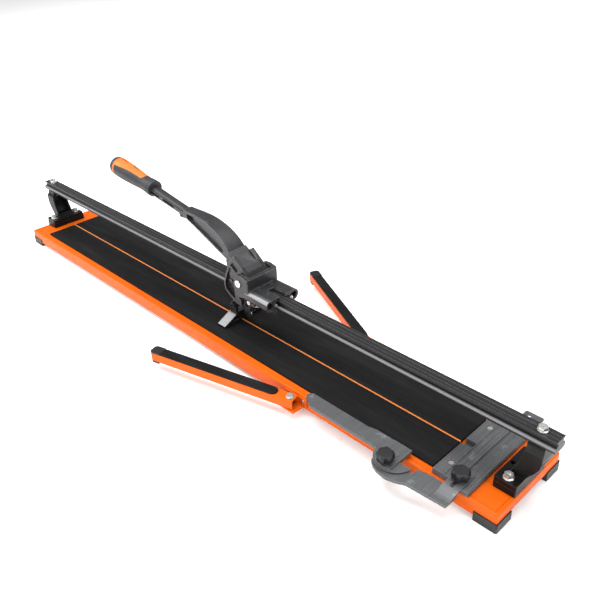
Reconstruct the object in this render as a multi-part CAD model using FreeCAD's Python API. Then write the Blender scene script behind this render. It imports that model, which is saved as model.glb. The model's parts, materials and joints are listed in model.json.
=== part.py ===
import FreeCAD, Part
import math
import os

# Manual tile cutter, 1200 mm class: a folded steel base with rubber mats, one overhead rail on two
# cast stands, a rolling carriage with a breaker lever, a scale fence with a swivel arm, and two
# swing-out support arms.
# Frame: +X runs along the base towards the fence end, +Y to the back, +Z up. The origin is the
# middle of the centre foot's underside, below the scoring line. All sizes are in millimetres.

Vec = FreeCAD.Vector

# ---- driving dimensions -------------------------------------------------------------------------
base_half_length = 700.0
base_half_width = 86.8
base_top = 34.2
sheet = 2.0
side_flange_height = 26.3
end_flange_height = 18.0
foot_height = 17.0

mat_start = -635.0
mat_end = 578.0
mat_half_width = 71.5
mat_thickness = 4.5
joint_half_width = 1.5

rail_half_length = 732.0
rail_half_width = 11.5
rail_height = 21.0
rail_bead_half_width = 14.5
rail_top = base_top + 104.8

stand_inner = 662.0
stand_outer = 699.0
stand_half_width = 42.6
spacer_height = 12.0
stand_flange = 8.0
stand_bolt_x = 680.0
stand_bolt_y = 31.0
rail_bolt_x = 704.0

pivot_x = 97.5
pivot_z = base_top + 121.5
pivot_radius = 5.0
running_gap = 0.05
lobe_inner = 16.0
lobe_outer = 26.0
cheek_inner = 30.0
cheek_outer = 38.0

roller_x = (131.0, 154.0)
roller_y = 15.1
roller_z = rail_top - 6.0
roller_radius = 7.0
roller_pin_radius = 2.5

wheel_x = 73.5
wheel_z = base_top + 29.0
wheel_radius = 9.0
wheel_axle_radius = 2.5

foot_pin_x = 48.0
foot_pin_z = base_top + 46.0
foot_pin_radius = 3.5

fence_start = 583.0
channel_start = 611.5
channel_end = 650.0
fence_height = 10.0
channel_height = 8.0
fence_half_length = 81.0
slot_middle = 625.5

knob_radius = 14.5
fence_knob_y = -70.0
hub_x = 527.0
hub_y = -98.0
hub_radius = 35.0
protractor_slot_radius = 20.0
protractor_stud_angle = 257.0

arm_pivot_x = 300.0
arm_pivot_y = 105.0
arm_length = 310.0
arm_width = 22.0
arm_depth = 18.0
arm_top = base_top + 2.5
pad_thickness = 2.5
arm_bolt_radius = 4.0
front_arm_angle = 15.0
rear_arm_angle = 25.0


# ---- helpers ------------------------------------------------------------------------------------
def box(x_range, y_range, z_range):
    """A block between two limits along each axis."""
    size = [high - low for low, high in (x_range, y_range, z_range)]
    return Part.makeBox(*size, Vec(x_range[0], y_range[0], z_range[0]))


def cylinder(radius, start, direction, length):
    return Part.makeCylinder(radius, length, Vec(*start), Vec(*direction))


def prism(points, direction):
    """A closed outline pushed along a direction."""
    corners = [Vec(*point) for point in points]
    outline = Part.makePolygon(corners + [corners[0]])
    return Part.Face(outline).extrude(Vec(*direction))


def side_prism(points, y_low, y_high):
    """An outline in the XZ plane, given as (x, height above the base top), from one Y to another."""
    return prism([(x, y_low, base_top + z) for x, z in points], (0, y_high - y_low, 0))


def plan_prism(points, z_low, z_high):
    """An outline in the XY plane, with heights above the base top."""
    return prism([(x, y, base_top + z_low) for x, y in points], (0, 0, z_high - z_low))


def cross_prism(points, x_low, x_high):
    """An outline in the YZ plane, given as (y, height above the base top)."""
    return prism([(x_low, y, base_top + z) for y, z in points], (x_high - x_low, 0, 0))


def both_sides(shape):
    """The shape and its mirror image across the scoring line."""
    return [shape, shape.mirror(Vec(0, 0, 0), Vec(0, 1, 0))]


def both_ends(shape):
    """The shape and its mirror image across the middle of the base."""
    return [shape, shape.mirror(Vec(0, 0, 0), Vec(1, 0, 0))]


def join(shapes):
    whole = shapes[0]
    for shape in shapes[1:]:
        whole = whole.fuse(shape)
    return whole.removeSplitter()


def cut_all(shape, tools):
    for tool in tools:
        shape = shape.cut(tool)
    return shape


def fillet_where(shape, radius, test):
    """Rounds the edges whose middle point passes the test."""
    edges = []
    for edge in shape.Edges:
        middle = edge.valueAt((edge.FirstParameter + edge.LastParameter) / 2)
        if test(edge, middle):
            edges.append(edge)
    return shape.makeFillet(radius, edges)


def hexagon(centre, axis, across_flats, height):
    """A hexagonal head or nut that starts at centre and grows along axis, which is X, Y or Z."""
    radius = across_flats / math.sqrt(3)
    points = []
    for side in range(6):
        angle = math.radians(60 * side)
        u = radius * math.cos(angle)
        v = radius * math.sin(angle)
        if axis[2]:
            points.append((centre[0] + u, centre[1] + v, centre[2]))
        else:
            points.append((centre[0] + u, centre[1], centre[2] + v))
    return prism(points, [height * part for part in axis])


def washer(centre, axis, outer, inner, thickness):
    disc = cylinder(outer, centre, axis, thickness)
    return disc.cut(cylinder(inner, centre, axis, thickness))


# ---- base ---------------------------------------------------------------------------------------
def make_base_plate():
    """Folded steel pan, open underneath, with holes for the stand and bracket bolts."""
    length = base_half_length
    width = base_half_width
    bottom = base_top - side_flange_height
    rim = 6.0
    outer = box((-length, length), (-width, width), (bottom, base_top))
    outer = fillet_where(outer, 2.5, lambda edge, middle: middle.z > base_top - 1 or
                         abs(middle.x) > length - 1 and abs(middle.y) > width - 1)
    inside = box((-length + sheet, length - sheet), (-width + sheet, width - sheet),
                 (bottom, base_top - sheet))
    pan = outer.cut(inside)
    for end in (-1, 1):
        low, high = sorted((end * (length - sheet - 1), end * (length + 1)))
        pan = pan.cut(box((low, high), (-width + 6, width - 6), (bottom, base_top - end_flange_height)))
    outer_ring = box((-length + rim, length - rim), (-width + rim, width - rim), (base_top - 0.6, base_top + 1))
    inner_ring = box((-length + rim + 1.4, length - rim - 1.4), (-width + rim + 1.4, width - rim - 1.4),
                     (base_top - 0.6, base_top + 1))
    pan = pan.cut(outer_ring.cut(inner_ring))
    for x in (-stand_bolt_x, stand_bolt_x):
        for y in (-stand_bolt_y, stand_bolt_y):
            pan = pan.cut(cylinder(4.0, (x, y, base_top - 5), (0, 0, 1), 10))
    for y in (-fence_screw_y, fence_screw_y):
        pan = pan.cut(cylinder(2.5, (fence_screw_x, y, base_top - 5), (0, 0, 1), 10))
    for side in (-1, 1):
        for x in bracket_bolt_x:
            pan = pan.cut(cylinder(3.0, (x, side * (width - 5), bracket_bolt_z), (0, side, 0), 10))
    return pan


bracket_bolt_x = (284.0, 316.0)
bracket_bolt_z = base_top - 10.0
stiffener_half_width = 20.0
stiffener_depth = 24.2


def make_base_stiffener():
    """Channel under the scoring line, open towards the base plate, that takes the breaking load."""
    top = base_top - sheet
    low = top - stiffener_depth
    half = stiffener_half_width
    outer = box((-640, 640), (-half, half), (low, top))
    return outer.cut(box((-641, 641), (-half + sheet, half - sheet), (low + sheet, top)))


def make_centre_foot():
    """Rubber block under the stiffener. The origin is in the middle of its underside."""
    block = box((-30, 30), (-18, 18), (0, base_top - sheet - stiffener_depth))
    return fillet_where(block, 2.0, lambda edge, middle: abs(middle.x) > 29 and abs(middle.y) > 17)


def make_corner_feet():
    """Plastic cups that wrap the four lower corners of the base."""
    wall = 1.8
    outer_x = base_half_length + wall
    outer_y = base_half_width + wall
    cup = box((662, outer_x), (-outer_y, -50), (0, foot_height))
    cup = fillet_where(cup, 3.0, lambda edge, middle: middle.x > outer_x - 1 and middle.y < -outer_y + 1)
    bottom = base_top - side_flange_height
    groove_side = box((655, base_half_length), (-base_half_width, -base_half_width + sheet),
                      (bottom, foot_height + 1))
    groove_corner = box((base_half_length - sheet, base_half_length),
                        (-base_half_width, -base_half_width + 6), (bottom, foot_height + 1))
    end_gap = box((base_half_length - sheet, base_half_length), (-base_half_width, -40),
                  (base_top - end_flange_height, foot_height + 1))
    cup = cut_all(cup, [groove_side, groove_corner, end_gap])
    cups = []
    for near_or_far in both_ends(cup):
        cups.extend(both_sides(near_or_far))
    return Part.makeCompound(cups)


def make_mat(side):
    """Rubber mat beside the breaking rib; side is -1 for the front mat and 1 for the rear mat."""
    low, high = sorted((side * (joint_half_width + 0.3), side * mat_half_width))
    mat = box((mat_start, mat_end), (low, high), (base_top, base_top + mat_thickness))
    return fillet_where(mat, 0.6, lambda edge, middle: middle.z > base_top + mat_thickness - 0.1)


def make_breaking_rib():
    """Narrow steel rib along the scoring line, a little proud of the mats, with a rounded top."""
    half = joint_half_width
    height = mat_thickness + 0.6
    outline = [(-half, 0), (half, 0), (half, height - 1.0), (half * 0.55, height - 0.2), (0, height),
               (-half * 0.55, height - 0.2), (-half, height - 1.0)]
    return cross_prism(outline, mat_start, mat_end)


# ---- rail and stands ----------------------------------------------------------------------------
def make_rail():
    """Extruded guide rail: flat top flange, a hollow running groove along each side, round lower beads."""
    half = rail_half_width
    groove_top = rail_top - 1.8
    groove_low = rail_top - 10.2
    groove_depth = 4.5
    bottom = rail_top - rail_height

    def at(y, z):
        return Vec(-rail_half_length, y, z)

    edges = [Part.LineSegment(at(-half, rail_top), at(half, rail_top))]
    for side in (1, -1):
        flange = at(side * half, rail_top)
        lip = at(side * half, groove_top)
        shoulder = at(side * half, groove_low)
        foot = at(side * (half - 0.5), bottom)
        hollow = at(side * (half - groove_depth), (groove_top + groove_low) / 2)
        bead = at(side * rail_bead_half_width, (groove_low + bottom) / 2 - 0.5)
        edges.append(Part.LineSegment(flange, lip))
        edges.append(Part.Arc(lip, hollow, shoulder))
        edges.append(Part.Arc(shoulder, bead, foot))
    edges.append(Part.LineSegment(at(half - 0.5, bottom), at(0.5 - half, bottom)))
    outline = Part.Wire(Part.__sortEdges__([edge.toShape() for edge in edges]))
    rail = Part.Face(outline).extrude(Vec(2 * rail_half_length, 0, 0))
    for y in (-4.2, 4.2):
        rail = rail.cut(box((-rail_half_length, rail_half_length), (y - 0.4, y + 0.4),
                            (rail_top - 0.4, rail_top)))
    for x in (-rail_bolt_x, rail_bolt_x):
        rail = rail.cut(cylinder(4.0, (x, 0, rail_top - 30), (0, 0, 1), 40))
    return rail


def make_spacers():
    """Blocks that lift both stands off the base plate."""
    block = box((stand_inner, stand_outer), (-stand_half_width, stand_half_width),
                (base_top, base_top + spacer_height))
    block = fillet_where(block, 2.0, lambda edge, middle: abs(abs(middle.y) - stand_half_width) < 0.1
                         and (abs(middle.x - stand_inner) < 0.1 or abs(middle.x - stand_outer) < 0.1))
    notch = box((stand_inner - 1, stand_inner + 3), (-9, 2), (base_top - 1, base_top + 4))
    block = block.cut(notch)
    for y in (-stand_bolt_y, stand_bolt_y):
        block = block.cut(cylinder(4.0, (stand_bolt_x, y, base_top - 1), (0, 0, 1), 20))
    return Part.makeCompound(both_ends(block))


def make_near_stand():
    """Cast stand that leans outwards from its flange to the rail, open towards the middle."""
    low = spacer_height
    flange_top = spacer_height + stand_flange
    rail_under = rail_top - rail_height - base_top
    flange = box((stand_inner, stand_outer), (-stand_half_width + 1, stand_half_width - 1),
                 (base_top + low, base_top + flange_top))
    flange = fillet_where(flange, 2.0, lambda edge, middle: abs(abs(middle.y) - stand_half_width + 1) < 0.1
                          and (abs(middle.x - stand_inner) < 0.1 or abs(middle.x - stand_outer) < 0.1))
    inner_line = [(674, flange_top - 1), (679, 30), (684, 42), (689, 58), (691, 70), (691, rail_under)]
    outer_line = [(718, rail_under), (719.5, 64), (718, 52), (711, 39), (702, 27), (698, flange_top - 1)]
    front = [(-20.5, flange_top - 1), (-19.5, 50), (-18.5, 72), (-13.5, 79), (-13.5, rail_under),
             (13.5, rail_under), (13.5, 79), (18.5, 72), (19.5, 50), (20.5, flange_top - 1)]
    column = side_prism(inner_line + outer_line, -40, 40).common(cross_prism(front, 650, 740))
    wall = 3.2
    pocket_back = [(x - 6, z) for x, z in outer_line[1:-1]]
    pocket_side = [(665, 27), (672, 40), (680, 60), (684, 74), (713, 74)] + pocket_back
    pocket_front = [(wall - 19.5, 24), (wall - 18.5, 68), (-10, 75), (10, 75), (18.5 - wall, 68),
                    (19.5 - wall, 24)]
    pocket = side_prism(pocket_side, -40, 40).common(cross_prism(pocket_front, 650, 740))
    stand = join([flange, column.cut(pocket)])
    stand = stand.cut(cylinder(4.0, (rail_bolt_x, 0, rail_top - 37), (0, 0, 1), 60))
    stand = stand.cut(cylinder(4.0, (668.5, 0, base_top), (0, 0, 1), 40))
    for y in (-stand_bolt_y, stand_bolt_y):
        stand = stand.cut(cylinder(4.0, (stand_bolt_x, y, base_top), (0, 0, 1), 40))
        stand = stand.cut(cylinder(9.5, (stand_bolt_x, y, base_top + flange_top), (0, 0, 1), 12))
    return stand


def stand_bolt(y):
    """Hex bolt through stand, spacer and base, with its nut below the base plate."""
    seat = base_top + spacer_height + stand_flange
    head = hexagon((stand_bolt_x, y, seat + 1.6), (0, 0, 1), 13.0, 5.5)
    socket = cylinder(3.0, (stand_bolt_x, y, seat + 4.6), (0, 0, 1), 3)
    shank = cylinder(4.0, (stand_bolt_x, y, base_top - 10), (0, 0, 1), seat + 1.6 - base_top + 10)
    return join([head, shank]).cut(socket)


def make_stand_bolts():
    bolts = []
    for y in (-stand_bolt_y, stand_bolt_y):
        bolts.extend(both_ends(stand_bolt(y)))
    return Part.makeCompound(bolts)


def make_stand_washers():
    seat = base_top + spacer_height + stand_flange
    rings = []
    for y in (-stand_bolt_y, stand_bolt_y):
        rings.extend(both_ends(washer((stand_bolt_x, y, seat), (0, 0, 1), 8.5, 4.0, 1.6)))
    return Part.makeCompound(rings)


def make_stand_nuts():
    nuts = []
    for y in (-stand_bolt_y, stand_bolt_y):
        nut = hexagon((stand_bolt_x, y, base_top - sheet - 6.5), (0, 0, 1), 13.0, 6.5)
        nut = nut.cut(cylinder(4.0, (stand_bolt_x, y, base_top - 12), (0, 0, 1), 12))
        nuts.extend(both_ends(nut))
    return Part.makeCompound(nuts)


def make_rail_bolts():
    """Hex bolts that hold the rail down on the stands."""
    head = hexagon((rail_bolt_x, 0, rail_top + 1.4), (0, 0, 1), 13.0, 5.5)
    shank = cylinder(4.0, (rail_bolt_x, 0, rail_top - 36), (0, 0, 1), 37.4)
    ring = cylinder(8.0, (rail_bolt_x, 0, rail_top), (0, 0, 1), 1.4)
    socket = cylinder(3.0, (rail_bolt_x, 0, rail_top + 4.2), (0, 0, 1), 3)
    return Part.makeCompound(both_ends(join([head, shank, ring]).cut(socket)))


# ---- carriage -----------------------------------------------------------------------------------
tube_y = 29.0
tube_z = 99.8
tube_radius = 11.5
tube_start = 113.0
tube_end = 177.0
plate_start = 123.0
plate_end = 178.0
plate_low = 106.5
plate_high = 111.5
wall_inner = 114.4
wall_outer = 123.5
skirt_inner = 15.6
side_screw_x = (113.5,)
side_screw_z = base_top + 82.0


def make_carriage_body():
    """Cast saddle over the rail: two bearing tubes, a top plate and the fork for the lever."""
    parts = [box((plate_start - 4, plate_end), (-tube_y, tube_y), (base_top + plate_low, base_top + plate_high))]
    cheek_outline = [(82.5, 120), (84.5, 105), (89.5, 91), (100, 91), (119, 96), (wall_outer, 101),
                     (wall_outer, 136), (106, 139.5), (92, 138), (84, 129)]
    skirt = [(skirt_inner, 107), (skirt_inner, 78), (19, 78), (24, 85), (27, 90), (27, 107)]
    for side in (-1, 1):
        parts.append(cylinder(tube_radius, (tube_start, side * tube_y, base_top + tube_z), (1, 0, 0),
                              tube_end - tube_start))
        parts.append(cross_prism([(side * y, z) for y, z in skirt], plate_start, tube_end))
        low, high = sorted((side * 21, side * 28))
        parts.append(box((108, 126), (low, high), (base_top + 76, base_top + 93)))
        low, high = sorted((side * cheek_inner, side * cheek_outer))
        cheek = side_prism(cheek_outline, low, high)
        cheek = fillet_where(cheek, 1.5, lambda edge, middle: abs(abs(middle.y) - cheek_outer) < 0.1
                             and middle.z < base_top + 135)
        parts.append(cheek)
    wall = box((wall_inner, wall_outer), (-cheek_outer + 1, cheek_outer - 1), (base_top + plate_low, base_top + 135))
    parts.append(wall)
    parts.append(box((wall_outer - 1, wall_outer + 2.5), (-tube_y - 4, tube_y + 4),
                     (base_top + plate_high - 1, base_top + plate_high + 2)))
    body = join(parts)
    body = body.cut(box((144, plate_end + 1), (-7, 7), (base_top + plate_low - 1, base_top + plate_high + 1)))
    for side in (-1, 1):
        body = body.cut(cylinder(7.5, (140, side * tube_y, base_top + tube_z), (1, 0, 0), 60))
        for x in roller_x:
            body = body.cut(cylinder(roller_radius + 1.4, (x, side * roller_y, roller_z - 4.5),
                                     (0, 0, 1), 9))
            body = body.cut(cylinder(roller_pin_radius, (x, side * roller_y, pin_low), (0, 0, 1), 28))
        for x in side_screw_x:
            body = body.cut(cylinder(2.5, (x, side * 15, side_screw_z), (0, side, 0), 20))
        body = body.cut(cylinder(2.5, (165, side * adjusting_screw_y, adjusting_screw_z), (1, 0, 0), 20))
    body = body.cut(cylinder(8.2, (pivot_x, -cheek_outer - 1, pivot_z), (0, 1, 0), 3.5))
    return body.cut(cylinder(pivot_radius, (pivot_x, -60, pivot_z), (0, 1, 0), 120))


adjusting_screw_y = 19.5
adjusting_screw_z = base_top + 99.0
pin_low = roller_z - 3.8


def make_roller(x, side):
    """Grooved-rail roller that turns on a vertical pin."""
    centre = (x, side * roller_y, roller_z - 3)
    roller = cylinder(roller_radius, centre, (0, 0, 1), 6)
    roller = roller.makeFillet(1.2, [edge for edge in roller.Edges if len(edge.Vertexes) == 1])
    return roller.cut(cylinder(roller_pin_radius + running_gap, centre, (0, 0, 1), 6))


def make_roller_pins():
    pins = []
    for x in roller_x:
        for side in (-1, 1):
            pins.append(cylinder(roller_pin_radius, (x, side * roller_y, pin_low), (0, 0, 1),
                                 base_top + plate_high - 2 - pin_low))
    return Part.makeCompound(pins)


def make_side_screws():
    """Pan-head screws in the tabs below the bearing tubes."""
    screws = []
    for side in (-1, 1):
        for x in side_screw_x:
            shank = cylinder(2.5, (x, side * 21, side_screw_z), (0, side, 0), 8)
            head = cylinder(4.0, (x, side * 28, side_screw_z), (0, side, 0), 3)
            slot = cylinder(1.6, (x, side * 29.5, side_screw_z), (0, side, 0), 3)
            screws.append(join([shank, head]).cut(slot))
    return Part.makeCompound(screws)


def make_adjusting_screws():
    """Socket screws in the near end of the saddle that take up play on the rail."""
    screws = []
    for side in (-1, 1):
        y = side * adjusting_screw_y
        shank = cylinder(2.5, (165, y, adjusting_screw_z), (1, 0, 0), tube_end - 165)
        head = cylinder(3.6, (tube_end, y, adjusting_screw_z), (1, 0, 0), 3.5)
        socket = cylinder(1.7, (tube_end + 2, y, adjusting_screw_z), (1, 0, 0), 3)
        screws.append(join([shank, head]).cut(socket))
    return Part.makeCompound(screws)


def make_pivot_bolt():
    """Shoulder bolt across the fork, with a socket head sunk into the front cheek."""
    head_seat = -cheek_outer + 2.5
    shank = cylinder(pivot_radius, (pivot_x, head_seat, pivot_z), (0, 1, 0), 2 * cheek_outer + 5)
    head = cylinder(7.2, (pivot_x, head_seat, pivot_z), (0, -1, 0), 5.0)
    socket = cylinder(3.2, (pivot_x, head_seat - 3, pivot_z), (0, -1, 0), 5)
    return join([shank, head]).cut(socket)


def make_pivot_nut():
    nut = hexagon((pivot_x, cheek_outer, pivot_z), (0, 1, 0), 17.0, 8.0)
    return nut.cut(cylinder(pivot_radius, (pivot_x, cheek_outer - 1, pivot_z), (0, 1, 0), 10))


def make_pivot_washers():
    """Spacing washers between the lever and the fork's cheeks."""
    gap = 0.3
    rings = []
    for side in (-1, 1):
        ring = washer((pivot_x, side * (lobe_outer + gap), pivot_z), (0, side, 0), 9.0, pivot_radius,
                      cheek_inner - lobe_outer - gap)
        rings.append(ring)
    return Part.makeCompound(rings)


# ---- lever --------------------------------------------------------------------------------------
shank_half_width = 10.5
block_half_width = 22.5
shank_top_line = [(-226, 229.0), (-200, 224.3), (-170, 219.0), (-140, 214.0), (-113, 209.5), (-92, 206.5)]
root_top_line = [(-95, 207.6), (-78, 207.2), (-62, 207.6), (-40, 206.8), (-22, 205.0), (4, 198.0),
                 (26, 188.0), (40, 178.5), (53, 166.5)]
shank_low_line = [(-92, 189.0), (-99, 188.5), (-109, 187.5), (-112, 195.5), (-226, 212.5)]
root_low_line = [(53, 144.7), (-33, 172.0), (-95, 192.4)]


def lever_shank():
    """Straight part of the lever that carries the grip: crowned top, two long pockets in the front."""
    top_points = [Vec(x, -shank_half_width, base_top + z) for x, z in shank_top_line]
    curve = Part.BSplineCurve()
    curve.interpolate(top_points)
    corners = [top_points[-1]] + [Vec(x, -shank_half_width, base_top + z) for x, z in shank_low_line]
    corners.append(top_points[0])
    edges = [curve.toShape()]
    for start, end in zip(corners, corners[1:]):
        edges.append(Part.LineSegment(start, end).toShape())
    shank = Part.Face(Part.Wire(edges)).extrude(Vec(0, 2 * shank_half_width, 0))
    shank = fillet_where(shank, 7.0, lambda edge, middle: edge.Curve.TypeId == "Part::GeomBSplineCurve")
    shank = shank.cut(cylinder(2.2, (-104.5, -20, base_top + 191.5), (0, 1, 0), 40))
    pockets = [[(-212, 213.0), (-178, 208.0), (-176, 210.5), (-179, 214.0), (-207, 218.5), (-213, 217.5)],
               [(-166, 206.2), (-129, 200.6), (-127, 203.0), (-130, 206.6), (-161, 211.5), (-167, 210.5)]]
    for pocket in pockets:
        for side in (-1, 1):
            low, high = sorted((side * 3.0, side * (shank_half_width + 1)))
            shank = shank.cut(side_prism(pocket, low, high))
    return shank


def lever_root():
    """Widening part of the lever: a thin top flange over a recessed web with a rim below."""
    top_points = [Vec(x, -30, base_top + z) for x, z in root_top_line]
    curve = Part.BSplineCurve()
    curve.interpolate(top_points)
    corners = [top_points[-1]] + [Vec(x, -30, base_top + z) for x, z in root_low_line] + [top_points[0]]
    edges = [curve.toShape()]
    for start, end in zip(corners, corners[1:]):
        edges.append(Part.LineSegment(start, end).toShape())
    side_shape = Part.Face(Part.Wire(edges)).extrude(Vec(0, 60, 0))
    half_widths = [(-95, 10.9), (-60, 12.4), (-20, 15.0), (20, 18.2), (53, 19.8)]
    plan = [(x, -y) for x, y in half_widths] + [(x, y) for x, y in reversed(half_widths)]
    root = side_shape.common(plan_prism(plan, 120, 240))
    recess = [(-84, 191.5), (-33, 176.2), (30, 156.0), (36, 160.0), (26, 182.0), (4, 192.5), (-22, 199.5),
              (-62, 202.5), (-84, 202.2)]
    web = [(x, 4.5 - y) for x, y in half_widths] + [(x, y - 4.5) for x, y in reversed(half_widths)]
    tool = side_prism(recess, -40, 40).cut(plan_prism(web, 120, 240))
    root = root.cut(tool)
    dark_end = [(-84, 192.0), (-70, 188.0), (-64, 192.0), (-70, 202.0), (-84, 202.0)]
    for side in (-1, 1):
        low, high = sorted((side * 3.0, side * 30))
        root = root.cut(side_prism(dark_end, low, high))
    return root


def lever_block():
    """Wide root of the lever between the fork's cheeks; it is a little wider than the arm it carries."""
    outline = [(55, 166.2), (64, 160.5), (95, 146), (104, 139), (110, 131.5),
               (113, 122.5), (111.5, 114), (106, 108.5), (97.5, 106.3), (84, 109.5), (56, 112), (48, 130),
               (46, 147)]
    block = side_prism(outline, -block_half_width, block_half_width)
    return fillet_where(block, 1.5, lambda edge, middle: abs(abs(middle.y) - block_half_width) < 0.1
                        and middle.z > base_top + 145 and middle.x > 57)


def lever_lobe(side):
    """Side frame of the lever: a bowed rim round two deep windows, down to the keel under the rail."""
    outline = [(73, 165), (58.2, 145.5), (47, 123), (39, 104), (37, 92), (39.5, 81), (50, 73), (63, 65.5),
               (72.5, 61.5), (84, 62), (84, 74), (77, 82), (76, 92), (80, 103), (84, 108.5), (97.5, 106.3),
               (106, 108.5), (111.5, 114), (113, 122.5), (110, 131.5), (104, 139), (95, 147.5)]
    low, high = sorted((side * lobe_inner, side * lobe_outer))
    lobe = side_prism(outline, low, high)
    upper_window = [(61.8, 143.4), (78.5, 131.8), (86.5, 140.5), (84, 146), (70.5, 153.5)]
    lower_window = [(59.8, 139), (49.5, 120), (42, 103), (40.3, 92), (42.5, 83), (51.5, 76.6), (64, 69.8),
                    (68.5, 72.5), (68, 84), (67.5, 98), (70, 112), (76.5, 127.6)]
    bosses = [cylinder(5.0, (61, side * (lobe_inner + 1), base_top + 125), (0, side, 0), 6),
              cylinder(3.6, (55, side * (lobe_inner + 1), base_top + 106), (0, side, 0), 6)]
    low, high = sorted((side * (lobe_outer + 1), side * (lobe_inner + 1.5)))
    for window in (upper_window, lower_window):
        lobe = lobe.cut(side_prism(window, low, high))
    return join([lobe] + bosses)


def lever_keel():
    """Part of the lever below the rail: a roof between the lobes and a slotted leg for foot and wheel."""
    roof = side_prism([(66, 63), (72, 71), (86, 75), (96, 74), (96, 66), (88, 66), (80, 61)], -lobe_inner - 1,
                      lobe_inner + 1)
    leg = side_prism([(66, 67), (41.5, 50.5), (40.5, 43), (48, 38.5), (56, 41), (92, 57.5), (92, 68)],
                     -11.5, 11.5)
    slot_half = holder_half_width + 0.2
    slot = side_prism([(60.5, 36), (96, 36), (96, 60.8), (80, 60.8), (60.5, 56)], -slot_half, slot_half)
    return join([roof, leg.cut(slot)])


def make_lever():
    lever = join([lever_shank(), lever_root(), lever_block(), lever_lobe(-1), lever_lobe(1), lever_keel()])
    lever = lever.cut(cylinder(pivot_radius + running_gap, (pivot_x, -60, pivot_z), (0, 1, 0), 120))
    lever = lever.cut(cylinder(foot_pin_radius, (foot_pin_x, -60, foot_pin_z), (0, 1, 0), 120))
    for x, z in holder_screws:
        lever = lever.cut(cylinder(2.5, (x, -60, base_top + z), (0, 1, 0), 120))
    return lever


grip_start = (-206.0, 219.0)
grip_slope = math.radians(7.7)
grip_profile = [(0.0, 17.3), (14.0, 17.3), (22.0, 16.6), (60.0, 17.8), (100.0, 20.2), (132.0, 20.6),
                (144.0, 18.5), (150.0, 13.0), (152.5, 6.0)]
grip_skin = 2.6
inlay_low = 34.0
inlay_high = 131.0
ring_start = 127.0
ring_end = 132.0


def grip_solid(profile):
    """A turned shape along the grip's axis from (distance, radius) points."""
    points = [Vec(0, 0, profile[0][0])] + [Vec(radius, 0, along) for along, radius in profile]
    points.append(Vec(0, 0, profile[-1][0]))
    curve = Part.BSplineCurve()
    curve.interpolate(points[1:-1])
    edges = [Part.LineSegment(points[0], points[1]).toShape(), curve.toShape(),
             Part.LineSegment(points[-2], points[-1]).toShape(),
             Part.LineSegment(points[-1], points[0]).toShape()]
    turned = Part.Face(Part.Wire(edges)).revolve(Vec(0, 0, 0), Vec(0, 0, 1), 360)
    return turned


def to_grip_axis(shape):
    """Turns a shape built along +Z to lie along the grip, pointing away from the lever."""
    shape = shape.copy()
    shape.rotate(Vec(0, 0, 0), Vec(0, 1, 0), -90 + math.degrees(grip_slope))
    shape.translate(Vec(grip_start[0], 0, base_top + grip_start[1]))
    return shape


def inlay_region():
    """Space of the coloured inlay: a widening tongue over the top of the grip and a ring near its end."""
    border = [(inlay_low, 6.0), (inlay_low + 5, 9.5), (inlay_low + 22, 10.0), (inlay_low + 44, 11.5),
              (inlay_low + 66, 14.0), (inlay_low + 80, 15.5), (inlay_high, 16.5)]
    tongue = border + [(along, -across) for along, across in reversed(border)]
    corners = [Vec(-2, across, along) for along, across in tongue]
    top = Part.Face(Part.makePolygon(corners + [corners[0]])).extrude(Vec(30, 0, 0))
    ring = Part.makeCylinder(30, ring_end - ring_start, Vec(0, 0, ring_start))
    return top.fuse(ring)


def make_grip_inlay():
    shell = grip_solid(grip_profile)
    inner = [(along, radius - grip_skin) for along, radius in grip_profile]
    inner = [(min(along, grip_profile[-1][0] - grip_skin), radius) for along, radius in inner]
    shell = shell.cut(grip_solid(inner[:-1]))
    inlay = shell.common(inlay_region())
    for along in (62.0, 104.0):
        slot = box((0, 30), (3.0, 6.0), (along, along + 22.0))
        inlay = inlay.cut(slot)
    return to_grip_axis(inlay)


def make_grip(inlay, lever):
    """Soft grip moulded over the lever's shank, cut away where the inlay sits."""
    return to_grip_axis(grip_solid(grip_profile)).cut(inlay).cut(lever)


# ---- wheel holder and scoring wheel -------------------------------------------------------------
holder_screws = [(70.0, 52.0), (82.0, 55.5)]
holder_half_width = 5.0
fork_half_gap = 2.0


def make_wheel_holder():
    """Tang in the slot of the lever's leg, with a fork for the scoring wheel below."""
    outline = [(62, 55), (80, 60), (90, 60), (90, 57), (82, 42), (80, 27), (77, 22.5), (70, 22.5),
               (67, 27), (63, 41)]
    holder = side_prism(outline, -holder_half_width, holder_half_width)
    holder = holder.cut(box((55, 95), (-fork_half_gap, fork_half_gap), (base_top + 15, base_top + 40)))
    holder = holder.cut(cylinder(wheel_axle_radius, (wheel_x, -20, wheel_z), (0, 1, 0), 40))
    for x, z in holder_screws:
        holder = holder.cut(cylinder(2.5, (x, -60, base_top + z), (0, 1, 0), 120))
    return holder


def make_holder_screws():
    """Socket screws through the lever's leg into the wheel holder."""
    screws = []
    for side in (-1, 1):
        for x, z in holder_screws:
            shank = cylinder(2.5, (x, side, base_top + z), (0, side, 0), 10.5)
            head = cylinder(4.0, (x, side * 11.5, base_top + z), (0, side, 0), 3)
            socket = cylinder(2.0, (x, side * 13, base_top + z), (0, side, 0), 3)
            screws.append(join([shank, head]).cut(socket))
    return Part.makeCompound(screws)


def make_wheel_axle():
    pin = cylinder(wheel_axle_radius, (wheel_x, -holder_half_width, wheel_z), (0, 1, 0), 2 * holder_half_width)
    head = cylinder(4.0, (wheel_x, -holder_half_width, wheel_z), (0, -1, 0), 2)
    clip = cylinder(3.6, (wheel_x, holder_half_width, wheel_z), (0, 1, 0), 1.2)
    return join([pin, head, clip])


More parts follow.
